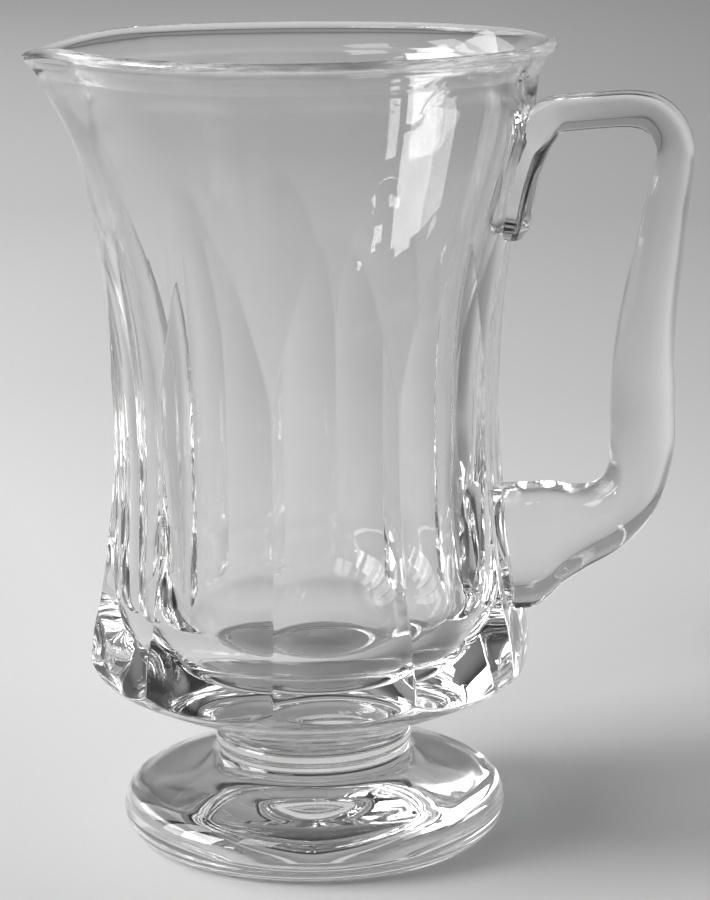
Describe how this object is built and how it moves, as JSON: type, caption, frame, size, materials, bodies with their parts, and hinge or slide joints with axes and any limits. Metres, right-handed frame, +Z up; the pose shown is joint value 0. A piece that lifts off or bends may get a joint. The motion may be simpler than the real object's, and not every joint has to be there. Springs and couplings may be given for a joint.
{
  "type": "glass pitcher",
  "caption": "Footed clear-glass pitcher: fluted waisted bowl with heavy base, drawn pouring lip, collar, thick round-edged foot and applied loop handle.",
  "frame": {"origin": "centre of the foot's flat resting face", "axes": "+Z up along the bowl's axis, +X towards the handle, -X towards the pouring lip"},
  "size_m": [0.1624, 0.1222, 0.1981],
  "materials": {
    "clear_glass": "fire-polished and cut, colourless"
  },
  "bodies": {
    "root": {"bowl": "clear_glass", "collar": "clear_glass", "foot": "clear_glass", "handle": "clear_glass"}
  },
  "joints": []
}
